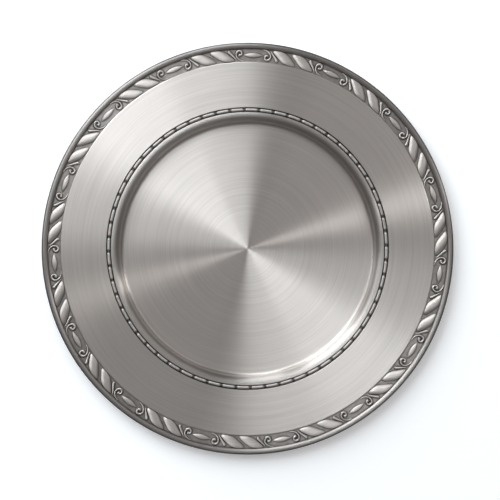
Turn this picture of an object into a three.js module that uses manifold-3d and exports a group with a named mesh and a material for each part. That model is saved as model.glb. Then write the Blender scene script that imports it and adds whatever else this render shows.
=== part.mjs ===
// A round pewter plate made as a fabricated plate is: a spun body, a border of cast lengths laid in a
// channel on its rim, a bead wire in a groove round the well, and a moulded wire that binds the edge.
// Units are millimetres, +Z is up, and the origin is the middle of the underside that the plate rests on.
import * as THREE from "three";
import { mergeVertices } from "three/addons/utils/BufferGeometryUtils.js";
import Module from "manifold-3d";

// Driving sizes of the spun body
const plateDiameter = 280; // over the edge wire
const sheetThickness = 1.8;
const wellFloorDiameter = 169.8; // the flat part of the well's floor
const wellDepth = 8; // shoulder down to the floor
const wallAngle = THREE.MathUtils.degToRad(82); // steepness of the well's wall
const cavettoBend = 2.2; // inside bend radius, floor into wall
const shoulderBend = 2.8; // inside bend radius, wall into lip
const lipWidth = 1.1; // flat on the shoulder, between its bend and the bead groove
const lipHeight = 0.7; // bead groove up to the shoulder's lip
const grooveDepth = 1; // bead groove up to the flange
const flangeRise = 0.6; // height that the flange gains on its way out

// Driving sizes of the bead wire
const beadCount = 60;
const beadWidth = 2.4;
const beadHeight = 1.3;
const beadNotchDepth = 0.7; // notch between two beads, down from their tops
const beadNotchWidth = 1.5; // notch between two beads, along the wire

// Driving sizes of the border and its cast lengths
const borderWidth = 8.9; // channel between the flange's outer step and the edge wire
const borderDepth = 2; // flange down to the land that the castings lie on
const castingCount = 15;
const castingGround = 1.2; // thickness of a casting without its relief
const ropeLean = THREE.MathUtils.degToRad(41); // fat strands and the castings' ends, off the band
const ropeSpacing = 12.9; // one fat rope strand to the next, along the band
const ropeWidth = 10.6; // along the band
const ropeMargin = 0.25; // ground between a strand's end and the casting's edge
const ropeRelief = 1.45;
const stemPlace = 14.2; // slim strand beside the rope, from the middle of the casting
const stemLean = THREE.MathUtils.degToRad(50);
const stemLength = 8.2;
const stemWidth = 1.5;
const stemRelief = 1;
const spindleLength = 11; // pointed bead in the middle of the casting
const spindleWidth = 3.2;
const spindleRelief = 1.1;
const scrollPlace = 9.2; // eye of a scroll, along the band from the middle of the casting
const scrollRaise = 1.2; // eye of a scroll, across the band
const scrollCoilRadius = 1.8; // where the winding starts
const scrollEyeRadius = 1.2; // where the winding stops
const scrollSweep = THREE.MathUtils.degToRad(400); // from the tail's end to the eye
const scrollTail = 4.1; // reach of the tail's end beyond the winding
const scrollTailAngle = THREE.MathUtils.degToRad(-60); // where the tail ends, seen from the eye
const scrollTailSweep = THREE.MathUtils.degToRad(70); // the tail's reach falls to 1/e over this
const scrollStroke = 1.3; // width of the scroll's ridge
const scrollRelief = 1.1;

// Driving sizes of the edge wire
const edgeWireWidth = 3.9;
const edgeWireRise = 1; // above the flange's outer edge
const edgeWireShoulder = 1.2; // straight inner side, up from the land
const edgeWireLap = 1.5; // metal outside the body's own edge

// Clearance that the solder fills between two pieces that lie side by side
const solderGap = 0.3;

// Fineness of round forms
const turnSteps = 80;
const bendSteps = 4;
const wireArcSteps = 6;
const outlineSteps = 6; // along a casting's curved sides
const fatRoundSteps = 4; // over a strand or a spindle
const slimRoundSteps = 2; // over a stem or a scroll
const ropeSteps = 8;
const stemSteps = 2;
const spindleSteps = 4;
const scrollSteps = 12;

// How the relief is joined to a casting
const reliefRoot = 0.5; // relief reaches this far down into the casting's ground
const leastWidth = 0.4; // of a ridge, at its ends
const leastHeight = 0.1; // of a ridge, at its ends

// Places worked out from the driving sizes
const plateRadius = plateDiameter / 2;
const floorRadius = wellFloorDiameter / 2;
const floorTop = sheetThickness;
const lipTop = floorTop + wellDepth;
const grooveTop = lipTop - lipHeight;
const shoulderOuterBend = shoulderBend + sheetThickness;
const bendDrop = 1 - Math.cos(wallAngle);
const bendReach = Math.sin(wallAngle);
const wallRise = wellDepth - (cavettoBend + shoulderOuterBend) * bendDrop;
const shoulderRadius =
  floorRadius + (cavettoBend + shoulderOuterBend) * bendReach + wallRise / Math.tan(wallAngle);
const grooveInnerRadius = shoulderRadius + lipWidth;
const flangeInnerRadius = grooveInnerRadius + beadWidth + 2 * solderGap;
const flangeInnerTop = grooveTop + grooveDepth;
const flangeOuterTop = flangeInnerTop + flangeRise;
const wireInnerRadius = plateRadius - edgeWireWidth;
const flangeOuterRadius = wireInnerRadius - borderWidth;
const landTop = flangeOuterTop - borderDepth;
const landRadius = plateRadius - edgeWireLap - solderGap;
const bandRadius = flangeOuterRadius + borderWidth / 2;
const bandHalfWidth = borderWidth / 2 - solderGap;
const groundTop = landTop + castingGround;
const castingPitch = (2 * Math.PI * bandRadius) / castingCount;
const ropePlace = (castingPitch - ropeSpacing) / 2;

const wasm = await Module();
wasm.setup();

// A closed geometry as a solid, with its shared vertices merged and its faces turned outwards.
function solidOf(geometry) {
  const bare = geometry.clone();
  bare.deleteAttribute("normal");
  bare.deleteAttribute("uv");
  const merged = mergeVertices(bare);
  const vertProperties = new Float32Array(merged.attributes.position.array);
  const triVerts = new Uint32Array(merged.index.array);
  const solid = new wasm.Manifold(new wasm.Mesh({ numProp: 3, vertProperties, triVerts }));
  if (solid.volume() > 0) return solid;
  const turned = new wasm.Mesh({ numProp: 3, vertProperties, triVerts: triVerts.slice().reverse() });
  return new wasm.Manifold(turned);
}

function geometryOf(solid) {
  const mesh = solid.getMesh();
  const geometry = new THREE.BufferGeometry();
  geometry.setAttribute("position", new THREE.BufferAttribute(mesh.vertProperties, 3));
  geometry.setIndex(new THREE.BufferAttribute(mesh.triVerts, 1));
  geometry.computeVertexNormals();
  return geometry;
}

// A skin over sections that have equal numbers of points. A ring of sections closes on itself, and a
// row of sections gets a flat cap at each end.
function loft(sections, isRing) {
  const perSection = sections[0].length;
  const positions = sections.flat().flatMap((p) => [p.x, p.y, p.z]);
  const index = [];
  const spans = isRing ? sections.length : sections.length - 1;
  for (let i = 0; i < spans; i++) {
    const here = i * perSection;
    const next = ((i + 1) % sections.length) * perSection;
    for (let j = 0; j < perSection; j++) {
      const k = (j + 1) % perSection;
      index.push(here + j, next + j, next + k, here + j, next + k, here + k);
    }
  }
  if (!isRing) {
    const last = (sections.length - 1) * perSection;
    for (let j = 1; j < perSection - 1; j++) {
      index.push(0, j, j + 1);
      index.push(last, last + j + 1, last + j);
    }
  }
  const geometry = new THREE.BufferGeometry();
  geometry.setAttribute("position", new THREE.Float32BufferAttribute(positions, 3));
  geometry.setIndex(index);
  return geometry;
}

// Points of an elliptical arc in a radius and height profile, from one angle to another.
function arc(centre, radii, from, to, steps) {
  return Array.from({ length: steps + 1 }, (_, i) => {
    const angle = from + ((to - from) * i) / steps;
    return new THREE.Vector2(
      centre.x + radii.x * Math.cos(angle),
      centre.y + radii.y * Math.sin(angle),
    );
  });
}

const roundArc = (centre, radius, from, to) =>
  arc(centre, new THREE.Vector2(radius, radius), from, to, bendSteps);

// A profile of radius and height turned about +Z.
function turned(profile) {
  return new THREE.LatheGeometry(profile, turnSteps).rotateX(Math.PI / 2);
}

// The spun body: floor, wall, lip, bead groove, flange and the land that carries the border. The sheet keeps
// its thickness at each step.
function bodyGeometry() {
  const point = (radius, height) => new THREE.Vector2(radius, height);
  const cavettoCentre = point(floorRadius, floorTop + cavettoBend);
  const shoulderCentre = point(shoulderRadius, lipTop - shoulderOuterBend);
  const down = -Math.PI / 2;
  const up = Math.PI / 2;
  const topSide = [
    point(0, floorTop),
    ...roundArc(cavettoCentre, cavettoBend, down, down + wallAngle),
    ...roundArc(shoulderCentre, shoulderOuterBend, up + wallAngle, up),
    point(grooveInnerRadius, lipTop),
    point(grooveInnerRadius, grooveTop),
    point(flangeInnerRadius, grooveTop),
    point(flangeInnerRadius, flangeInnerTop),
    point(flangeOuterRadius, flangeOuterTop),
    point(flangeOuterRadius, landTop),
    point(landRadius, landTop),
  ];
  const underSide = [
    point(landRadius, landTop - sheetThickness),
    point(flangeOuterRadius - sheetThickness, landTop - sheetThickness),
    point(flangeOuterRadius - sheetThickness, flangeOuterTop - sheetThickness),
    point(flangeInnerRadius + grooveDepth, flangeInnerTop - sheetThickness),
    point(flangeInnerRadius + grooveDepth, grooveTop - sheetThickness),
    point(shoulderRadius + lipWidth / 2, grooveTop - sheetThickness),
    point(shoulderRadius + lipWidth / 2, lipTop - sheetThickness),
    ...roundArc(shoulderCentre, shoulderBend, up, up + wallAngle),
    ...roundArc(cavettoCentre, cavettoBend + sheetThickness, down + wallAngle, down),
    point(0, 0),
  ];
  return turned([...topSide, ...underSide].reverse());
}

// The edge wire sits on the land and laps over the body's own edge.
function edgeWireGeometry() {
  const lapRadius = landRadius + solderGap;
  const shoulderHeight = landTop + edgeWireShoulder;
  const crown = flangeOuterTop + edgeWireRise - shoulderHeight;
  const skirt = shoulderHeight - (landTop - sheetThickness);
  const crownCentre = new THREE.Vector2(plateRadius - edgeWireWidth / 2, shoulderHeight);
  const skirtCentre = new THREE.Vector2(lapRadius, shoulderHeight);
  const crownRadii = new THREE.Vector2(edgeWireWidth / 2, crown);
  const skirtRadii = new THREE.Vector2(plateRadius - lapRadius, skirt);
  const profile = [
    new THREE.Vector2(wireInnerRadius, landTop),
    ...arc(crownCentre, crownRadii, Math.PI, 0, wireArcSteps),
    ...arc(skirtCentre, skirtRadii, 0, -Math.PI / 2, bendSteps).slice(1),
    new THREE.Vector2(lapRadius, landTop),
    new THREE.Vector2(wireInnerRadius, landTop),
  ];
  return turned(profile.reverse());
}

// The bead wire lies in its groove, with a notch between each two beads.
function beadWireGeometry() {
  const middleRadius = (grooveInnerRadius + flangeInnerRadius) / 2;
  const pitch = (2 * Math.PI) / beadCount;
  const notchAngle = beadNotchWidth / middleRadius;
  const section = (angle, height, width) =>
    [
      [-width / 2, 0],
      [-width / 2, height / 2],
      [-width / 4, height],
      [width / 4, height],
      [width / 2, height / 2],
      [width / 2, 0],
    ].map(([across, up]) => {
      const radius = middleRadius + across;
      return new THREE.Vector3(radius * Math.sin(angle), radius * Math.cos(angle), grooveTop + up);
    });
  const sections = [];
  for (let i = 0; i < beadCount; i++) {
    const middle = i * pitch;
    const beadEnd = (pitch - notchAngle) / 2;
    sections.push(section(middle - beadEnd, beadHeight, beadWidth));
    sections.push(section(middle + beadEnd, beadHeight, beadWidth));
    sections.push(section(middle + pitch / 2, beadHeight - beadNotchDepth, beadWidth));
  }
  return loft(sections, true);
}

// A place on the border: along the band from the casting's middle, outwards from the band's middle, and up.
function onBand(along, out, height) {
  const radius = bandRadius + out;
  const angle = along / bandRadius;
  return new THREE.Vector3(radius * Math.sin(angle), radius * Math.cos(angle), height);
}

// A rounded mound over stations, each with a place, the direction across it, half its width and its height.
function mound(stations, roundSteps) {
  const sections = stations.map(({ along, out, across, halfWidth, height }) => {
    const top = Array.from({ length: roundSteps + 1 }, (_, i) => {
      const angle = (Math.PI * i) / roundSteps;
      return [halfWidth * Math.cos(angle), height * Math.sin(angle)];
    });
    const root = [
      [-halfWidth, -reliefRoot],
      [halfWidth, -reliefRoot],
    ];
    return [...root, ...top].map(([side, up]) =>
      onBand(along + across.x * side, out + across.y * side, groundTop + up),
    );
  });
  return solidOf(loft(sections, false));
}

function evenly(from, to, steps) {
  return Array.from({ length: steps + 1 }, (_, i) => from + ((to - from) * i) / steps);
}

// A straight ridge whose axis leans across the band. Its shares of width and height depend on the place
// from -1 to 1 along it.
function straightRidge({ place, lean, length, width, relief, widthShare, heightShare, steps, roundSteps }) {
  const axis = new THREE.Vector2(Math.cos(lean), -Math.sin(lean));
  const stations = evenly(-1, 1, steps).map((share) => ({
    along: place + (axis.x * share * length) / 2,
    out: (axis.y * share * length) / 2,
    across: new THREE.Vector2(-axis.y, axis.x),
    halfWidth: Math.max(leastWidth, width * widthShare(share)) / 2,
    height: Math.max(leastHeight, relief * heightShare(share)),
  }));
  return mound(stations, roundSteps);
}

const pointedWidth = (share) => 1 - share * share;
const pointedHeight = (share) => Math.sqrt(1 - share * share);

// One fat strand of the rope, which crosses the whole band and has blunt ends.
function ropeStrand(place) {
  const reach = bandHalfWidth - ropeMargin;
  const stations = evenly(-Math.PI / 2, Math.PI / 2, ropeSteps).map((angle) => {
    const share = Math.sin(angle);
    const swell = (1 - share ** 4) ** 0.25;
    return {
      along: place + (share * reach) / Math.tan(ropeLean),
      out: -share * reach,
      across: new THREE.Vector2(1, 0),
      halfWidth: Math.max(leastWidth, ropeWidth * swell) / 2,
      height: Math.max(leastHeight, ropeRelief * Math.cos(angle)),
    };
  });
  return mound(stations, fatRoundSteps);
}

// The slim strand between a rope and a scroll, which fattens towards the rope.
function stem(side) {
  const fatness = (share) => 0.65 + 0.35 * side * share;
  return straightRidge({
    place: side * stemPlace,
    lean: stemLean,
    length: stemLength,
    width: stemWidth,
    relief: stemRelief,
    widthShare: fatness,
    heightShare: fatness,
    steps: stemSteps,
    roundSteps: slimRoundSteps,
  });
}

// The pointed bead in the middle.
function spindle() {
  return straightRidge({
    place: 0,
    lean: 0,
    length: spindleLength,
    width: spindleWidth,
    relief: spindleRelief,
    widthShare: pointedWidth,
    heightShare: pointedHeight,
    steps: spindleSteps,
    roundSteps: fatRoundSteps,
  });
}

// A scroll: one ridge that comes in from the band's edge as a tail and winds up to an eye.
function scroll(side) {
  const place = (swept) => {
    const winding = THREE.MathUtils.lerp(scrollCoilRadius, scrollEyeRadius, swept / scrollSweep);
    const radius = winding + scrollTail * Math.exp(-swept / scrollTailSweep);
    const angle = scrollTailAngle - swept;
    return new THREE.Vector2(radius * Math.cos(angle), radius * Math.sin(angle));
  };
  const stations = evenly(0, scrollSweep, scrollSteps).map((swept) => {
    const here = place(swept);
    const ahead = place(swept + 0.01).sub(here).normalize();
    const share = swept / scrollSweep;
    const taper = Math.min(1, 0.35 + 2 * share) * (1 - 0.35 * share);
    return {
      along: side * (here.x - scrollPlace),
      out: side * (here.y + scrollRaise),
      across: new THREE.Vector2(side * ahead.y, -side * ahead.x),
      halfWidth: (scrollStroke / 2) * taper,
      height: scrollRelief * taper,
    };
  });
  return mound(stations, slimRoundSteps);
}

// The plan outline of one casting, with both ends along a furrow of the rope.
function castingOutline() {
  const halfLength = (castingPitch - solderGap / Math.sin(ropeLean)) / 2;
  const side = (out) => {
    const swing = -out / Math.tan(ropeLean);
    return evenly(swing - halfLength, swing + halfLength, outlineSteps).map((along) => {
      const place = onBand(along, out, 0);
      return new THREE.Vector2(place.x, place.y);
    });
  };
  return [...side(bandHalfWidth), ...side(-bandHalfWidth).reverse()];
}

function castingGeometry() {
  const shape = new THREE.Shape(castingOutline());
  const slab = (low, high) => {
    const upright = new THREE.ExtrudeGeometry(shape, { depth: high - low, bevelEnabled: false });
    return solidOf(upright.translate(0, 0, low));
  };
  const tallest = Math.max(ropeRelief, stemRelief, spindleRelief, scrollRelief);
  const relief = [
    ropeStrand(ropePlace),
    ropeStrand(-ropePlace),
    stem(1),
    stem(-1),
    spindle(),
    scroll(1),
    scroll(-1),
  ].reduce((all, one) => all.add(one));
  const room = slab(landTop, groundTop + 2 * tallest);
  return geometryOf(slab(landTop, groundTop).add(relief.intersect(room)));
}

const pewter = (color, roughness) => new THREE.MeshStandardMaterial({ color, roughness, metalness: 1 });

function piece(name, geometry, material) {
  const mesh = new THREE.Mesh(geometry, material);
  mesh.name = name;
  return mesh;
}

const plate = new THREE.Group();
plate.add(piece("plate_body", bodyGeometry(), pewter(0xb8b4b0, 0.35)));
plate.add(piece("edge_wire", edgeWireGeometry(), pewter(0xa9a5a1, 0.3)));
plate.add(piece("bead_wire", beadWireGeometry(), pewter(0x9d9995, 0.35)));

const castingShape = castingGeometry();
for (let i = 0; i < castingCount; i++) {
  const name = `border_casting_${String(i + 1).padStart(2, "0")}`;
  const casting = piece(name, castingShape, pewter(0x8f8a85, 0.45));
  casting.rotation.z = (-2 * Math.PI * i) / castingCount;
  plate.add(casting);
}

export default plate;
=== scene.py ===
"""A round pewter plate, seen from straight above, with smooth turned, beaded and cast pieces."""
import math

import bpy
import numpy as np
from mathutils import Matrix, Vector


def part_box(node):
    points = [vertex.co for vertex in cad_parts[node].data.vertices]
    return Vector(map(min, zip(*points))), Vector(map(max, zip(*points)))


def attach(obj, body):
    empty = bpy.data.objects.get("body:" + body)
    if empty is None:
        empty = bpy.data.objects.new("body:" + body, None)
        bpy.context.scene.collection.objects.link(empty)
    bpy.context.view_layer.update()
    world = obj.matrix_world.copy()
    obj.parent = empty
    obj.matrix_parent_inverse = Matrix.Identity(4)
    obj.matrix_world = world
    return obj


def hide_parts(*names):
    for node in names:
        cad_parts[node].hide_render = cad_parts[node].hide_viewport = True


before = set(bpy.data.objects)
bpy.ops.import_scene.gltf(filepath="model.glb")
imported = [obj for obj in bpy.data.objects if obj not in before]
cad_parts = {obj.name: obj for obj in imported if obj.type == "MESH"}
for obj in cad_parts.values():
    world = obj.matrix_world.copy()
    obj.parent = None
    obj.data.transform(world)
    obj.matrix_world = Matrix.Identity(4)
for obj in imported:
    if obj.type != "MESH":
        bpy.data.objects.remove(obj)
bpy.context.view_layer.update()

# Sizes are in millimetres and become metres when a mesh is made.
MM = 0.001


def box_mm(node):
    low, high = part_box(node)
    return low / MM, high / MM


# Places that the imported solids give
edge_low, edge_high = box_mm("edge_wire")
body_high = box_mm("plate_body")[1]
casting_low = box_mm("border_casting_01")[0]
bead_low, bead_high = box_mm("bead_wire")
plate_radius = edge_high.x
land_radius = body_high.x
flange_top = body_high.z
land_top = casting_low.z
groove_top = bead_low.z
bead_height = bead_high.z - bead_low.z

# Sizes of the spun body
SHEET = 1.8
FLOOR_RADIUS = 84.9
WALL_ANGLE = math.radians(82)
CAVETTO_BEND = 2.2
SHOULDER_BEND = 2.8
LIP_WIDTH = 1.1
LIP_HEIGHT = 0.7
GROOVE_DEPTH = 1.0
UNDER_SHOULDER_BEND = 1.68
EDGE_SOFTENING = 0.4  # radius on the flange's inner edge and on two edges of the underside
LIP_SOFTENING = 0.28  # radius on the lip's edge, over the bead groove
FLANGE_ROUNDING = 0.7  # radius on the flange's outer edge, where it drops to the border
CORNER_SOFTENING = 0.25  # radius in the body's inner corners, on the land's edges and under the lip

# Sizes of the bead wire
BEAD_COUNT = 60
BEAD_WIDTH = 2.4
BEAD_GAP = 1.1  # between the ends of two beads
BEAD_END = 1.3  # length over which a bead's end rounds off
BEAD_CORE = 0.45  # share of the bead's height that the wire keeps between beads
BEAD_NARROWEST = 0.6  # share of the bead's width that a wire without height would keep
BEAD_SECTION_POWER = 0.8  # below 1 the section is fuller than an ellipse

# Sizes of the border
BORDER_WIDTH = 8.9
CASTING_COUNT = 15
CASTING_GROUND = 1.2
ROPE_LEAN = math.radians(41)
ROPE_SPACING = 12.9
ROPE_WIDTH = 10.0  # along the band
ROPE_MARGIN = 0.15
ROPE_RELIEF = 1.45
ROPE_SIDE_POWER = 2.5  # fullness of a strand across its axis
ROPE_END_POWER = 4.5  # squareness of a strand's ends
STEM_PLACE = 14.2
STEM_LEAN = math.radians(50)
STEM_LENGTH = 8.4
STEM_WIDTH = 2.1
STEM_RELIEF = 1.1
STEM_MIDDLE = 0.65  # share of its full width that a stem has halfway
STEM_GROWTH = 0.35  # share that it gains from there to its fat end
STEM_THINNEST = 0.05  # least share of its full width
STEM_END = 0.15  # share of its half length over which an end rounds off
STEM_LEAST_RELIEF = 0.4  # share of its relief that a stem without width would keep
SPINDLE_LENGTH = 12.6
SPINDLE_WIDTH = 3.3
SPINDLE_RELIEF = 1.1
SPINDLE_CREST_POWER = 0.4  # below 1 the crest stays high towards the points
SCROLL_PLACE = 9.2
SCROLL_RAISE = 1.2
SCROLL_COIL_RADIUS = 1.8
SCROLL_EYE_RADIUS = 1.2
SCROLL_TAIL = 4.1
SCROLL_TAIL_ANGLE = math.radians(-60)
SCROLL_TAIL_SWEEP = math.radians(70)
SCROLL_SWEEP = math.radians(400)
SCROLL_STROKE = 1.4
SCROLL_RELIEF = 1.2
SCROLL_TIP = 0.45  # share of the stroke at the tail's end
SCROLL_GROWTH = 2  # strokes that it would gain over the whole sweep, up to its full stroke
SCROLL_BALL_RADIUS = 0.84
DOME_SIDE_POWER = 2.4  # above 2 a ridge has a flatter crown
DOME_CROWN_POWER = 0.6  # below 1 its sides stand upright at their feet
LEAST_WIDTH = 1e-6  # stands for no width where a width divides
CASTING_EDGE = 0.05  # how far a casting's upper edges drop

# Sizes of the edge wire
EDGE_WIRE_WIDTH = 3.9
EDGE_WIRE_SHOULDER = 1.7
EDGE_WIRE_CREST = 1.7  # in from the plate's edge

# Clearances between two pieces that are soldered together
SOLDER_GAP = 0.3
SEAM = 0.04  # what the solder leaves open beside a casting

# Patina and painted shade, from 0 on bare metal to 1 on black
BARE = 0.0
WORN = 0.15
BLACKEST = 1.0
FOOT_BEND_SHADE = 0.2  # painted shade, added on top in the bend at the foot of the wall
HEAD_BEND_SHADE = 0.4  # painted shade, added on top in the bend at the head of the wall
CROWN_TARNISH = 0.45
WIRE_GROOVE_PATINA_AND_SHADE = 0.75  # patina and painted shade on the edge wire's inner side
WIRE_GROOVE_HEIGHT = 0.8  # above the castings' ground, where that patina and shade have faded to the crown's
SKIRT_START, SKIRT_END = 0.2, 0.75  # shares of the way from the crest to the plate's edge, over which painted shade darkens the outer skirt
BEAD_WEAR = 0.7  # patina that is worn off the beads' tops; their lower sides keep patina and painted shade
BEAD_WEAR_START, BEAD_WEAR_END = 0.3, 0.85  # shares of the beads' height
GROUND_TARNISH = 0.46
GROUND_START, GROUND_END = 0.05, 0.6  # relief over which the ground's tarnish fades
CREVICE_PATINA_AND_SHADE = 1.3  # patina and painted shade per millimetre that a place lies below its surroundings
CREVICE_REACHES = (0.5, 1.1)  # how far its surroundings are taken
CREVICE_DIRECTIONS = 8
EDGE_WALL_SHARE = 1 / 3  # of the edge wire's height, which counts among the surroundings

# Places worked out from the sizes
wall_slope = math.tan(WALL_ANGLE)
half_wall = math.tan(WALL_ANGLE / 2)
shoulder_outer_bend = SHOULDER_BEND + SHEET
lip_top = groove_top + LIP_HEIGHT
flange_inner_top = groove_top + GROOVE_DEPTH
wall_foot = FLOOR_RADIUS + CAVETTO_BEND * half_wall
wall_head = wall_foot + (lip_top - SHEET) / wall_slope
shoulder_radius = wall_head + shoulder_outer_bend * half_wall
groove_inner = shoulder_radius + LIP_WIDTH
flange_inner = groove_inner + BEAD_WIDTH + 2 * SOLDER_GAP
wire_inner = plate_radius - EDGE_WIRE_WIDTH
flange_outer = wire_inner - BORDER_WIDTH
band_radius = flange_outer + BORDER_WIDTH / 2
band_half_width = BORDER_WIDTH / 2 - SEAM
ground_top = land_top + CASTING_GROUND
casting_pitch = 2 * math.pi * band_radius / CASTING_COUNT
rope_place = (casting_pitch - ROPE_SPACING) / 2
rope_reach = band_half_width - ROPE_MARGIN

# Fineness of the meshes
TURN_STEPS = 360
FILLET_STEPS = 8
FLAT_HOLD = 0.15  # beside a bend, to the point that keeps the flat stretch's shading flat
LONGEST_RUN = 9.0
BEAD_STEPS = 28
BEAD_SIDES = 18
CASTING_COLUMNS = 370
CASTING_ROWS = 53
SEAT_END = 4  # columns in each end face of a casting's seat, past the bow of its ends


def mesh_object(name, points_mm, faces):
    """A smooth-shaded mesh in the scene, from points in millimetres."""
    mesh = bpy.data.meshes.new(name)
    mesh.from_pydata((np.asarray(points_mm) * MM).tolist(), [], faces)
    mesh.polygons.foreach_set("use_smooth", [True] * len(mesh.polygons))
    mesh.update()
    made = bpy.data.objects.new(name, mesh)
    bpy.context.scene.collection.objects.link(made)
    return made


def set_patina_and_shade(piece, values):
    attribute = piece.data.attributes.new("patina_and_shade", "FLOAT", "POINT")
    attribute.data.foreach_set("value", np.asarray(values, np.float32))


def bend_reach(before, corner, after):
    """How far the bend at a corner takes up its two sides."""
    here = Vector(corner[:2])
    opening = (Vector(before[:2]) - here).angle(Vector(after[:2]) - here)
    return corner[2] / math.tan(opening / 2)


def flat_holds(corners):
    """The hold on each run, which is at most a third of what its bends leave straight."""
    bends = [bend_reach(*three) for three in zip(corners, corners[1:], corners[2:])]
    reaches = [0, *bends, 0]
    holds = []
    for start, end, first, last in zip(corners, corners[1:], reaches, reaches[1:]):
        straight = (Vector(end[:2]) - Vector(start[:2])).length - first - last
        holds.append(min(FLAT_HOLD, straight / 3))
    return holds


def rounded(corners):
    """A profile through corners of (radius, height, bend radius, patina and painted shade of the run that
    follows), with each bend as an arc. A fifth number is painted shade that the middle of the bend has on
    top. Next to a bend each run gets a point that keeps the smooth shading of its flat stretch flat."""
    points = [(Vector(corners[0][:2]), corners[0][3])]
    holds = flat_holds(corners)
    threes = zip(corners, corners[1:], corners[2:])
    for (before, corner, after), hold_before, hold_after in zip(threes, holds, holds[1:]):
        here = Vector(corner[:2])
        back = (Vector(before[:2]) - here).normalized()
        ahead = (Vector(after[:2]) - here).normalized()
        bend = corner[2]
        bend_shade = corner[4] if len(corner) > 4 else 0
        half_turn = back.angle(ahead) / 2
        reach = bend_reach(before, corner, after)
        centre = here + (back + ahead).normalized() * (bend / math.sin(half_turn))
        first = here + back * reach - centre
        side = 1 if back.x * ahead.y - back.y * ahead.x < 0 else -1
        points.append((here + back * (reach + hold_before), before[3]))
        for share in np.linspace(0, 1, FILLET_STEPS + 1):
            angle = side * (math.pi - 2 * half_turn) * share
            turned = Vector((
                first.x * math.cos(angle) - first.y * math.sin(angle),
                first.x * math.sin(angle) + first.y * math.cos(angle),
            ))
            patina_and_shade = before[3] + (corner[3] - before[3]) * share + bend_shade * math.sin(math.pi * share)
            points.append((centre + turned, patina_and_shade))
        points.append((here + ahead * (reach + hold_after), corner[3]))
    points.append((Vector(corners[-1][:2]), corners[-1][3]))
    return points


def divided(profile):
    """The profile with points added on its long runs."""
    points = [profile[0]]
    for (start, first), (end, last) in zip(profile, profile[1:]):
        parts = max(1, math.ceil((end - start).length / LONGEST_RUN))
        for part in range(1, parts + 1):
            share = part / parts
            points.append((start.lerp(end, share), first + (last - first) * share))
    return points


def ring_points(profile):
    """Every profile point turned about +Z, ring after ring."""
    angles = np.linspace(0, 2 * math.pi, TURN_STEPS, endpoint=False)
    around = np.stack([np.cos(angles), np.sin(angles)], 1)
    rings = []
    for (radius, height), _ in profile:
        rings.append(np.column_stack([around * radius, np.full(TURN_STEPS, height)]))
    return np.concatenate(rings)


def ring_faces(ring_count, first, closed):
    """Faces between rings of points, the first of which is the point with this number."""
    faces = []
    for ring in range(ring_count if closed else ring_count - 1):
        low = first + ring * TURN_STEPS
        high = first + (ring + 1) % ring_count * TURN_STEPS
        for step in range(TURN_STEPS):
            next_step = (step + 1) % TURN_STEPS
            faces.append((low + step, high + step, high + next_step, low + next_step))
    return faces


def turned_disc(name, profile):
    """A solid of revolution whose profile starts and ends on the axis."""
    inner = profile[1:-1]
    poles = [(0, 0, profile[0][0].y), (0, 0, profile[-1][0].y)]
    points = np.concatenate([np.array(poles), ring_points(inner)])
    first = len(poles)
    last = first + (len(inner) - 1) * TURN_STEPS
    faces = ring_faces(len(inner), first, closed=False)
    for step in range(TURN_STEPS):
        next_step = (step + 1) % TURN_STEPS
        faces.append((0, first + step, first + next_step))
        faces.append((1, last + next_step, last + step))
    made = mesh_object(name, points, faces)
    ring_patina_and_shade = np.repeat([patina_and_shade for _, patina_and_shade in inner], TURN_STEPS)
    set_patina_and_shade(made, np.concatenate([[profile[0][1], profile[-1][1]], ring_patina_and_shade]))
    return made


def turned_ring(name, profile):
    """A solid of revolution whose profile closes on itself."""
    faces = ring_faces(len(profile), 0, closed=True)
    made = mesh_object(name, ring_points(profile), faces)
    set_patina_and_shade(made, np.repeat([patina_and_shade for _, patina_and_shade in profile], TURN_STEPS))
    return made


def plate_body():
    under_shoulder = wall_head + (shoulder_outer_bend - SHOULDER_BEND) * half_wall
    under_foot = wall_foot + SHEET * half_wall
    under_lip = shoulder_radius + LIP_WIDTH / 2
    under_flange = flange_inner + GROOVE_DEPTH
    step_wall = flange_outer - SHEET
    soft, corner = EDGE_SOFTENING, CORNER_SOFTENING
    profile = rounded([
        (0, SHEET, 0, BARE),
        # painted shade in the bends at the foot and the head of the wall
        (wall_foot, SHEET, CAVETTO_BEND, BARE, FOOT_BEND_SHADE),
        (wall_head, lip_top, shoulder_outer_bend, BARE, HEAD_BEND_SHADE),
        # patina and painted shade in the groove under the beads
        (groove_inner, lip_top, LIP_SOFTENING, BLACKEST),
        (groove_inner, groove_top, corner, BLACKEST),
        (flange_inner, groove_top, corner, BLACKEST),
        (flange_inner, flange_inner_top, soft, BARE),
        (flange_outer, flange_top, FLANGE_ROUNDING, BARE),
        (flange_outer, land_top, SEAM, BLACKEST),
        (land_radius, land_top, corner, BLACKEST),
        (land_radius, land_top - SHEET, corner, WORN),
        (step_wall, land_top - SHEET, soft, WORN),
        (step_wall, flange_top - SHEET, corner, WORN),
        (under_flange, flange_inner_top - SHEET, corner, WORN),
        (under_flange, groove_top - SHEET, soft, WORN),
        (under_lip, groove_top - SHEET, corner, WORN),
        (under_lip, lip_top - SHEET, corner, WORN),
        (under_shoulder, lip_top - SHEET, UNDER_SHOULDER_BEND, WORN),
        (under_foot, 0, CAVETTO_BEND + SHEET, WORN),
        (0, 0, 0, WORN),
    ])
    return turned_disc("spun_body", divided(profile))


def ellipse_arc(centre, radii, start, end, steps):
    return [
        Vector((centre[0] + radii[0] * math.cos(angle), centre[1] + radii[1] * math.sin(angle)))
        for angle in np.linspace(start, end, steps + 1)
    ]


def smooth(low, high, values):
    """Eases from 0 at low to 1 at high."""
    share = np.clip((values - low) / (high - low), 0, 1)
    return share * share * (3 - 2 * share)


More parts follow.
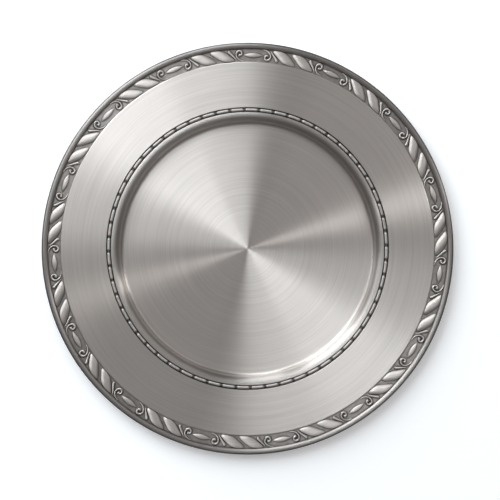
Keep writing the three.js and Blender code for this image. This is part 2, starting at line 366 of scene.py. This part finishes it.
def edge_wire():
    """The rolled edge. It has patina and painted shade in the groove beside the castings, and painted shade
    on its outer skirt.
    """
    lap = land_radius + SOLDER_GAP
    shoulder = land_top + EDGE_WIRE_SHOULDER
    crown_radius = plate_radius - EDGE_WIRE_CREST
    crown_height = edge_high.z - shoulder
    inner_crown = ellipse_arc(
        (crown_radius, shoulder), (EDGE_WIRE_WIDTH - EDGE_WIRE_CREST, crown_height),
        math.pi, math.pi / 2, 2 * FILLET_STEPS,
    )
    outer_crown = ellipse_arc(
        (crown_radius, shoulder), (EDGE_WIRE_CREST, crown_height), math.pi / 2, 0, 2 * FILLET_STEPS,
    )
    skirt = ellipse_arc(
        (lap, shoulder), (plate_radius - lap, shoulder - edge_low.z), 0, -math.pi / 2, 2 * FILLET_STEPS,
    )
    inner_wall = [Vector((wire_inner, land_top)), Vector((wire_inner, (land_top + shoulder) / 2))]
    rabbet = [Vector((lap, land_top))]
    profile = []
    # patina and painted shade in the groove, painted shade on the outer skirt
    for place in inner_wall + inner_crown + outer_crown[1:] + skirt[1:] + rabbet:
        if place.x < crown_radius:
            share = 1 - smooth(0, WIRE_GROOVE_HEIGHT, place.y - ground_top)
            darkest = WIRE_GROOVE_PATINA_AND_SHADE
        else:
            outward = (place.x - crown_radius) / (plate_radius - crown_radius)
            share = smooth(SKIRT_START, SKIRT_END, outward)
            darkest = BLACKEST
        profile.append((place, CROWN_TARNISH + (darkest - CROWN_TARNISH) * float(share)))
    return turned_ring("rolled_edge", profile)


def bead_wire():
    """Sixty pill-shaped beads on one wire, flat below and round above."""
    middle = (groove_inner + flange_inner) / 2
    pitch = 2 * math.pi * middle / BEAD_COUNT
    along = (np.arange(BEAD_STEPS) + 0.5) / BEAD_STEPS * pitch - pitch / 2
    past_body = np.clip((np.abs(along) - (pitch - BEAD_GAP) / 2 + BEAD_END) / BEAD_END, 0, 1)
    size = np.maximum(BEAD_CORE, np.sqrt(1 - past_body ** 2))
    section = np.linspace(0, math.pi, BEAD_SIDES)
    points, patina_and_shade = [], []
    for bead in range(BEAD_COUNT):
        for place, share in zip(along, size):
            angle = math.pi / 2 + 2 * math.pi * bead / BEAD_COUNT + place / middle
            width = BEAD_WIDTH * (BEAD_NARROWEST + (1 - BEAD_NARROWEST) * share)
            radius = middle + width / 2 * np.cos(section)
            height = bead_height * share * np.sin(section) ** BEAD_SECTION_POWER
            points.append(np.column_stack(
                [radius * math.cos(angle), radius * math.sin(angle), groove_top + height]
            ))
            # bare where the tops are worn; the lower sides and the wire between beads keep patina and
            # painted shade
            wear = smooth(BEAD_WEAR_START, BEAD_WEAR_END, height / bead_height)
            patina_and_shade.append(BLACKEST - BEAD_WEAR * wear)
    rows = len(points)
    faces = []
    for row in range(rows):
        here, ahead = row * BEAD_SIDES, (row + 1) % rows * BEAD_SIDES
        for side in range(BEAD_SIDES):
            next_side = (side + 1) % BEAD_SIDES
            faces.append((here + side, ahead + side, ahead + next_side, here + next_side))
    made = mesh_object("beaded_ring", np.concatenate(points), faces)
    set_patina_and_shade(made, np.concatenate(patina_and_shade))
    return made


def dome(side, half_width):
    """A full round section with steep sides, 1 on the axis and 0 at the half width."""
    return np.clip(1 - np.abs(side / half_width) ** DOME_SIDE_POWER, 0, 1) ** DOME_CROWN_POWER


def along_axis(along, out, place, lean, length):
    """Share of the way along a leaning axis, from -1 to 1, and distance to its side."""
    across = along - place
    share = (across * math.cos(lean) - out * math.sin(lean)) / (length / 2)
    side = across * math.sin(lean) + out * math.cos(lean)
    return share, side


def rope_relief(along, out, place):
    """A fat cushion that crosses the whole band, with rounded corners."""
    side = (along - place + out / math.tan(ROPE_LEAN)) / (ROPE_WIDTH / 2)
    away = np.abs(side) ** ROPE_SIDE_POWER + np.abs(out / rope_reach) ** ROPE_END_POWER
    return ROPE_RELIEF * dome(away ** (1 / ROPE_SIDE_POWER), 1)


def spindle_relief(along, out):
    """A pointed mound."""
    inside = np.clip(1 - (along / (SPINDLE_LENGTH / 2)) ** 2, 0, 1)
    half_width = np.maximum(SPINDLE_WIDTH / 2 * inside, LEAST_WIDTH)
    return SPINDLE_RELIEF * inside ** SPINDLE_CREST_POWER * dome(out, half_width)


def stem_relief(along, out):
    """A slim leaning strand that fattens towards one end."""
    share, side = along_axis(along, out, STEM_PLACE, STEM_LEAN, STEM_LENGTH)
    fatness = np.clip(STEM_MIDDLE + STEM_GROWTH * share, STEM_THINNEST, 1)
    ends = np.sqrt(np.clip((1 - np.abs(share)) / STEM_END, 0, 1))
    half_width = STEM_WIDTH / 2 * fatness * np.maximum(ends, LEAST_WIDTH)
    relief = STEM_RELIEF * (STEM_LEAST_RELIEF + (1 - STEM_LEAST_RELIEF) * fatness)
    return relief * ends * dome(side, half_width)


def scroll_relief(along, out):
    """A ridge that comes in from the band's edge as a tail and winds up to a small ball."""
    x, y = along + SCROLL_PLACE, out - SCROLL_RAISE
    distance = np.hypot(x, y)
    first_turn = np.mod(SCROLL_TAIL_ANGLE - np.arctan2(y, x), 2 * math.pi)
    tighten = (SCROLL_COIL_RADIUS - SCROLL_EYE_RADIUS) / SCROLL_SWEEP
    height = np.zeros_like(distance)
    for turn in (0, 1):
        swept = first_turn + 2 * math.pi * turn
        share = swept / SCROLL_SWEEP
        tail = SCROLL_TAIL * np.exp(-swept / SCROLL_TAIL_SWEEP)
        radius = SCROLL_COIL_RADIUS - tighten * swept + tail
        pitch = np.arctan((tail / SCROLL_TAIL_SWEEP + tighten) / radius)
        taper = np.clip(SCROLL_TIP + SCROLL_GROWTH * share, 0, 1)
        ridge = SCROLL_RELIEF * taper * dome((distance - radius) * np.cos(pitch), SCROLL_STROKE / 2 * taper)
        height = np.maximum(height, np.where(share < 1, ridge, 0))
    end = SCROLL_TAIL_ANGLE - SCROLL_SWEEP
    ball = np.hypot(x - SCROLL_EYE_RADIUS * math.cos(end), y - SCROLL_EYE_RADIUS * math.sin(end))
    return np.maximum(height, SCROLL_RELIEF * dome(ball, SCROLL_BALL_RADIUS))


def border_relief(along, out):
    """Height of the repeat above its ground, with the next strands on either side. It looks the same after
    a half turn."""
    strands = (-rope_place, rope_place, casting_pitch - rope_place, rope_place - casting_pitch)
    forms = [rope_relief(along, out, place) for place in strands]
    forms.append(spindle_relief(along, out))
    for side in (1, -1):
        forms.append(stem_relief(side * along, side * out))
        forms.append(scroll_relief(side * along, side * out))
    return np.maximum.reduce(forms)


def crevice_depth(along, out, height):
    """How far a place lies below its surroundings, the foot of the edge wire among them."""
    edge_wall = (edge_high.z - ground_top) * EDGE_WALL_SHARE
    samples = []
    for reach in CREVICE_REACHES:
        for turn in np.linspace(0, 2 * math.pi, CREVICE_DIRECTIONS, endpoint=False):
            near_out = out + reach * math.sin(turn)
            near = border_relief(along + reach * math.cos(turn), near_out)
            samples.append(np.where(near_out > band_half_width, edge_wall, near))
    return np.mean(samples, 0) - height


# patina on the ground, and patina and painted shade in the crevices
def casting_patina_and_shade(along, out, height):
    ground = GROUND_TARNISH * (1 - smooth(GROUND_START, GROUND_END, height))
    return np.clip(ground + CREVICE_PATINA_AND_SHADE * crevice_depth(along, out, height), BARE, BLACKEST)


def casting_faces():
    """The rim of a grid of upper points, and the faces of the grid, its walls and its flat seat."""
    count = CASTING_ROWS * CASTING_COLUMNS
    grid = np.arange(count).reshape(CASTING_ROWS, CASTING_COLUMNS)
    quads = np.stack([grid[:-1, :-1], grid[:-1, 1:], grid[1:, 1:], grid[1:, :-1]], -1).reshape(-1, 4)
    rim = np.concatenate([grid[0, :-1], grid[:-1, -1], grid[-1, :0:-1], grid[:0:-1, 0]])
    low = count + np.arange(len(rim))
    walls = np.stack([rim, low, np.roll(low, -1), np.roll(rim, -1)], -1)
    inner = low[:CASTING_COLUMNS]
    end = low[CASTING_COLUMNS - 1:CASTING_COLUMNS - 1 + CASTING_ROWS]
    outer = low[CASTING_COLUMNS + CASTING_ROWS - 2:2 * CASTING_COLUMNS + CASTING_ROWS - 2][::-1]
    start = np.append(low[2 * CASTING_COLUMNS + CASTING_ROWS - 3:], low[0])
    between_ends = range(SEAT_END, CASTING_COLUMNS - 1 - SEAT_END)
    seat = [(inner[i], outer[i], outer[i + 1], inner[i + 1]) for i in between_ends]
    seat.append((*outer[-1 - SEAT_END:-1], *end[::-1], *inner[-2:-2 - SEAT_END:-1]))
    seat.append((*inner[SEAT_END:0:-1], *start[::-1], *outer[1:1 + SEAT_END]))
    faces = quads.tolist() + walls.tolist()
    return rim, faces + [[int(corner) for corner in face] for face in seat]


def border_castings():
    """Fifteen equal lengths of border, whose ends run along the furrows of the rope."""
    half_length = (casting_pitch - SEAM / math.sin(ROPE_LEAN)) / 2
    out = np.linspace(-band_half_width, band_half_width, CASTING_ROWS)[:, None]
    along = np.linspace(-half_length, half_length, CASTING_COLUMNS)[None, :] - out / math.tan(ROPE_LEAN)
    out = np.broadcast_to(out, along.shape)
    relief = border_relief(along, out)
    patina_and_shade = casting_patina_and_shade(along, out, relief).ravel()
    edge = CASTING_EDGE * (1 - smooth(0, 2 * CASTING_EDGE, band_half_width - np.abs(out)))
    rim, faces = casting_faces()
    castings = []
    for number in range(CASTING_COUNT):
        angle = (along / band_radius + 2 * math.pi * number / CASTING_COUNT).ravel()
        radius = (band_radius + out).ravel()
        top = np.column_stack(
            [radius * np.sin(angle), radius * np.cos(angle), (ground_top + relief - edge).ravel()]
        )
        seat = top[rim]
        seat[:, 2] = land_top
        made = mesh_object(f"cast_border_{number + 1:02d}", np.concatenate([top, seat]), faces)
        set_patina_and_shade(made, np.concatenate([patina_and_shade, np.full(len(rim), BLACKEST)]))
        castings.append(made)
    return castings


# Colours of the metal, from burnished to blackened by patina and painted shade
BRIGHT_PEWTER = (0.673, 0.628, 0.596, 1)
DULL_PEWTER = (0.577, 0.539, 0.511, 1)
GREY_PATINA_AND_SHADE = (0.338, 0.314, 0.297, 1)
BLACK_PATINA_AND_SHADE = (0.075, 0.07, 0.065, 1)
GREY_LEVEL = 0.45  # the level of patina and painted shade at which the colour is grey

# How the metals are finished
PATTERN_LOW, PATTERN_HIGH = 0.3, 0.7  # of the noise, from dull to bright metal
QUARTER_TURN = 0.25  # from the round tangent to the way across the brush marks
FINE_STREAK_SHARE = 0.65  # of the streaks on the spun body, the rest being broad ones


def add(tree, kind, inputs=None, **settings):
    """A new node with its settings, and with each input set to a value or linked from a socket."""
    made = tree.nodes.new(kind)
    for name, value in settings.items():
        setattr(made, name, value)
    for name, value in (inputs or {}).items():
        if isinstance(value, bpy.types.NodeSocket):
            tree.links.new(value, made.inputs[name])
        else:
            made.inputs[name].default_value = value
    return made


def new_material(name):
    material = bpy.data.materials.new(name)
    material.use_nodes = True
    material.node_tree.nodes.clear()
    return material, material.node_tree


def finish_material(tree, inputs):
    shader = add(tree, "ShaderNodeBsdfPrincipled", inputs)
    add(tree, "ShaderNodeOutputMaterial", {"Surface": shader.outputs["BSDF"]})


def calculated(tree, operation, first, second):
    made = add(tree, "ShaderNodeMath", {0: first, 1: second}, operation=operation)
    return made.outputs["Value"]


def ranged(tree, value, low, high):
    """A value from 0 to 1, spread over another range."""
    made = add(tree, "ShaderNodeMapRange", {"Value": value, "To Min": low, "To Max": high})
    return made.outputs["Result"]


def mixed(tree, share, first, second):
    made = add(tree, "ShaderNodeMix", {0: share, 6: first, 7: second}, data_type="RGBA")
    return made.outputs[2]


def blended(tree, share, first, second):
    made = add(tree, "ShaderNodeMix", {0: share, 2: first, 3: second}, data_type="FLOAT")
    return made.outputs[0]


def ranged_between(tree, value, low, high):
    """The share of the way from low to high."""
    made = add(tree, "ShaderNodeMapRange", {"Value": value, "From Min": low, "From Max": high})
    return made.outputs["Result"]


def clean_pewter(tree, pattern, low=PATTERN_LOW, high=PATTERN_HIGH):
    """Metal that varies from dull to bright as a pattern goes from low to high."""
    return mixed(tree, ranged_between(tree, pattern, low, high), DULL_PEWTER, BRIGHT_PEWTER)


def with_patina_and_shade(tree, clean, patina_and_shade):
    """The clean colour under patina and painted shade, which go through grey to black."""
    greyed = mixed(tree, ranged_between(tree, patina_and_shade, BARE, GREY_LEVEL), clean, GREY_PATINA_AND_SHADE)
    return mixed(tree, ranged_between(tree, patina_and_shade, GREY_LEVEL, BLACKEST), greyed, BLACK_PATINA_AND_SHADE)


def place_on_piece(tree):
    return add(tree, "ShaderNodeTexCoord").outputs["Object"]


def noise(tree, place, size, detail):
    """Noise from 0 to 1 with features of about this size in millimetres."""
    made = add(tree, "ShaderNodeTexNoise", {"Vector": place, "Scale": 1 / (size * MM), "Detail": detail})
    return made.outputs["Fac"]


def vector_math(tree, operation, *vectors):
    return add(tree, "ShaderNodeVectorMath", dict(enumerate(vectors)), operation=operation).outputs


def brush_streaks(tree, ring_width, arc_length):
    """Noise that changes fast along the radius and slowly round the plate, as brushing on a lathe leaves it.
    Both lengths are in millimetres."""
    flat = vector_math(tree, "MULTIPLY", place_on_piece(tree), (1, 1, 0))["Vector"]
    radius = vector_math(tree, "LENGTH", flat)["Value"]
    slow = 1 / (arc_length * MM)
    stretched = vector_math(tree, "MULTIPLY", flat, (slow, slow, 0))["Vector"]
    parts = add(tree, "ShaderNodeSeparateXYZ", {"Vector": stretched}).outputs
    fast = calculated(tree, "MULTIPLY", radius, 1 / (ring_width * MM))
    joined = add(tree, "ShaderNodeCombineXYZ", {"X": parts["X"], "Y": parts["Y"], "Z": fast})
    made = add(tree, "ShaderNodeTexNoise", {
        "Vector": joined.outputs["Vector"],
        "Scale": 1.0,
        "Detail": 3.0,
        "Roughness": 0.6,
    })
    return made.outputs["Fac"]


def patina_and_shade_of(tree):
    return add(tree, "ShaderNodeAttribute", attribute_name="patina_and_shade").outputs["Fac"]


def steepness(tree):
    """0 on level metal and 1 on an upright wall."""
    normal = add(tree, "ShaderNodeNewGeometry").outputs["Normal"]
    rise = add(tree, "ShaderNodeSeparateXYZ", {"Vector": normal}).outputs["Z"]
    return calculated(tree, "SUBTRACT", 1.0, calculated(tree, "MULTIPLY", rise, rise))


def round_tangent(tree):
    """The way that a turning plate runs past the brush."""
    axis = (0, 0, 1)
    return vector_math(tree, "CROSS_PRODUCT", axis, place_on_piece(tree))["Vector"]


def spun_pewter():
    """Metal brushed on the lathe, with the steep wall burnished smoother than the flats."""
    material, tree = new_material("spun_pewter")
    fine = brush_streaks(tree, ring_width=0.7, arc_length=70)
    broad = brush_streaks(tree, ring_width=3.0, arc_length=100)
    fine_part = calculated(tree, "MULTIPLY", fine, FINE_STREAK_SHARE)
    broad_part = calculated(tree, "MULTIPLY", broad, 1 - FINE_STREAK_SHARE)
    streaks = calculated(tree, "ADD", fine_part, broad_part)
    clean = clean_pewter(tree, streaks, low=0.36, high=0.64)
    brushed = ranged(tree, streaks, low=0.3, high=0.42)
    burnished = ranged(tree, streaks, low=0.275, high=0.33)
    wall = ranged_between(tree, steepness(tree), low=0.06, high=0.4)
    bump = add(tree, "ShaderNodeBump", {"Height": fine, "Strength": 0.3, "Distance": 0.02 * MM})
    finish_material(tree, {
        "Base Color": with_patina_and_shade(tree, clean, patina_and_shade_of(tree)),
        "Roughness": blended(tree, wall, brushed, burnished),
        "Metallic": 1.0,
        "Anisotropic": 1.0,
        "Anisotropic Rotation": QUARTER_TURN,
        "Tangent": round_tangent(tree),
        "Normal": bump.outputs["Normal"],
    })
    return material


def edge_pewter():
    """Metal brushed along the wire."""
    material, tree = new_material("edge_pewter")
    streaks = brush_streaks(tree, ring_width=0.5, arc_length=40)
    clean = clean_pewter(tree, streaks)
    finish_material(tree, {
        "Base Color": with_patina_and_shade(tree, clean, patina_and_shade_of(tree)),
        "Roughness": ranged(tree, streaks, low=0.3, high=0.44),
        "Metallic": 1.0,
        "Anisotropic": 0.9,
        "Anisotropic Rotation": QUARTER_TURN,
        "Tangent": round_tangent(tree),
    })
    return material


def cast_pewter():
    """Cast metal with a fine grain, with patina and painted shade in the crevices, and bright on what stands
    out.
    """
    material, tree = new_material("cast_pewter")
    place = place_on_piece(tree)
    grain = noise(tree, place, size=0.5, detail=4.0)
    patches = noise(tree, place, size=3.0, detail=3.0)
    patchiness = ranged(tree, patches, low=0.6, high=1.4)
    patina_and_shade = calculated(tree, "MULTIPLY", patina_and_shade_of(tree), patchiness)
    clean = clean_pewter(tree, grain)
    bump = add(tree, "ShaderNodeBump", {"Height": grain, "Strength": 0.25, "Distance": 0.03 * MM})
    finish_material(tree, {
        "Base Color": with_patina_and_shade(tree, clean, patina_and_shade),
        "Roughness": ranged(tree, patina_and_shade, low=0.57, high=0.62),
        "Metallic": 1.0,
        "Anisotropic": 0.8,
        "Anisotropic Rotation": QUARTER_TURN,
        "Tangent": round_tangent(tree),
        "Normal": bump.outputs["Normal"],
    })
    return material


def bead_pewter():
    """Satin metal with a fine grain."""
    material, tree = new_material("bead_pewter")
    grain = noise(tree, place_on_piece(tree), size=0.6, detail=3.0)
    clean = clean_pewter(tree, grain)
    finish_material(tree, {
        "Base Color": with_patina_and_shade(tree, clean, patina_and_shade_of(tree)),
        "Roughness": ranged(tree, grain, low=0.52, high=0.62),
        "Metallic": 1.0,
    })
    return material


# The floor, with sizes in metres
STAGE_RADIUS = 8
STAGE_SIDES = 96
PALE_FLOOR = (0.90, 0.91, 0.925, 1)
PALEST_FLOOR = (0.92, 0.93, 0.945, 1)
FLOOR_GLOW = 0.2  # what it adds beside the plate, to be white in a picture and in a reflection
FAR_FLOOR_GLOW = 0.9  # what it adds far from the lamps
GLOW_START, GLOW_END = 0.6, 3.0  # from the middle, where the first gives way to the second


def floor_material():
    material, tree = new_material("pale_floor")
    place = place_on_piece(tree)
    cloud = noise(tree, place, size=300.0, detail=2.0)
    rays = add(tree, "ShaderNodeLightPath").outputs
    seen = calculated(tree, "ADD", rays["Is Camera Ray"], rays["Is Glossy Ray"])
    seen = calculated(tree, "ADD", seen, rays["Is Transmission Ray"])
    away = vector_math(tree, "LENGTH", place)["Value"]
    far = ranged_between(tree, away, GLOW_START, GLOW_END)
    glow = ranged(tree, far, FLOOR_GLOW, FAR_FLOOR_GLOW)
    finish_material(tree, {
        "Base Color": mixed(tree, cloud, PALE_FLOOR, PALEST_FLOOR),
        "Roughness": 0.9,
        "Specular IOR Level": 0.1,
        "Emission Color": (1, 1, 1, 1),
        "Emission Strength": calculated(tree, "MULTIPLY", seen, glow),
    })
    return material


def floor():
    bpy.ops.mesh.primitive_circle_add(
        vertices=STAGE_SIDES, radius=STAGE_RADIUS, fill_type="NGON", location=(0, 0, 0),
    )
    made = bpy.context.object
    made.name = "floor"
    made.data.materials.append(floor_material())


# The light
LAMP_DISTANCE = 1.8  # metres from the middle of the plate
WHITE = (1, 1, 1)
COOL_WHITE = (0.918, 0.967, 1)
WORLD_HORIZON = (0.1, 0.1, 0.1, 1)
WORLD_ZENITH = (0.27, 0.27, 0.27, 1)
HORIZON_RISE, ZENITH_RISE = 0.2, 0.85  # rise of a direction, where each of the two is reached

# Name, azimuth, polar angle, width, length, radiance and colour, as softbox takes them
LAMPS = (
    ("key_softbox", 317.7, 55, 0.85, 2.3, 4.5, COOL_WHITE),
    ("wing_softbox", 286, 42, 0.67, 1.5, 2.15, COOL_WHITE),
    ("top_softbox", 350.5, 55, 0.53, 2.3, 2.85, COOL_WHITE),
    ("low_softbox", 325, 80, 1.9, 0.5, 2.0, COOL_WHITE),
    ("side_strip", 72, 48, 0.17, 1.8, 3.6, WHITE),
    ("fill_softbox", 39.5, 39, 1.04, 1.2, 0.76, WHITE),
)


def softbox(name, azimuth, polar, width, length, radiance, colour):
    """A rectangular lamp that faces the plate. Its length runs towards the plate's axis and its width round
    it, both in metres. Its azimuth is in degrees clockwise from +Y, seen from above, and its polar angle
    in degrees off the axis."""
    turn, tilt = math.radians(azimuth), math.radians(polar)
    outward = Vector((math.sin(turn), math.cos(turn), 0))
    place = (outward * math.sin(tilt) + Vector((0, 0, math.cos(tilt)))) * LAMP_DISTANCE
    lamp = bpy.data.lights.new(name, "AREA")
    lamp.shape = "RECTANGLE"
    lamp.size = width
    lamp.size_y = length
    lamp.color = colour
    lamp.energy = radiance * width * length * math.pi
    made = bpy.data.objects.new(name, lamp)
    made.location = place
    made.rotation_euler = (-place).to_track_quat("-Z", "Y").to_euler()
    made.visible_camera = False
    bpy.context.scene.collection.objects.link(made)


def studio_world():
    """Soft light from above that fades to a dim horizon."""
    world = bpy.data.worlds.new("studio")
    world.use_nodes = True
    tree = world.node_tree
    direction = add(tree, "ShaderNodeTexCoord").outputs["Generated"]
    rise = add(tree, "ShaderNodeSeparateXYZ", {"Vector": direction}).outputs["Z"]
    share = ranged_between(tree, rise, HORIZON_RISE, ZENITH_RISE)
    colour = mixed(tree, share, WORLD_HORIZON, WORLD_ZENITH)
    tree.links.new(colour, tree.nodes["Background"].inputs["Color"])
    bpy.context.scene.world = world


def lighting():
    studio_world()
    for lamp in LAMPS:
        softbox(*lamp)


# The photograph's frame, in pixels
FRAME_WIDTH = 500
PLATE_CENTRE = (247.5, 248.75)
PLATE_RADIUS_PIXELS = 206.2

# The camera
CAMERA_DISTANCE = 0.95  # metres above the rim
CAMERA_ROLL = math.radians(1.75)
SENSOR_WIDTH = 36  # millimetres


def camera():
    metres_per_pixel = plate_radius * MM / PLATE_RADIUS_PIXELS
    data = bpy.data.cameras.new("camera")
    data.sensor_width = SENSOR_WIDTH
    data.lens = SENSOR_WIDTH * CAMERA_DISTANCE / (FRAME_WIDTH * metres_per_pixel)
    made = bpy.data.objects.new("camera", data)
    right = (FRAME_WIDTH / 2 - PLATE_CENTRE[0]) * metres_per_pixel
    up = (PLATE_CENTRE[1] - FRAME_WIDTH / 2) * metres_per_pixel
    made.location = (right, up, edge_high.z * MM + CAMERA_DISTANCE)
    made.rotation_euler = (0, 0, CAMERA_ROLL)
    bpy.context.scene.collection.objects.link(made)
    bpy.context.scene.camera = made


def dress(piece, material, node):
    """The piece gets its metal, moves with the plate and stands for one solid."""
    piece.data.materials.append(material)
    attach(piece, "root")
    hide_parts(node)


def main():
    camera()
    lighting()
    floor()
    dress(plate_body(), spun_pewter(), "plate_body")
    dress(edge_wire(), edge_pewter(), "edge_wire")
    dress(bead_wire(), bead_pewter(), "bead_wire")
    cast = cast_pewter()
    for number, casting in enumerate(border_castings(), 1):
        dress(casting, cast, f"border_casting_{number:02d}")
    bpy.context.scene.view_settings.view_transform = "Standard"


main()
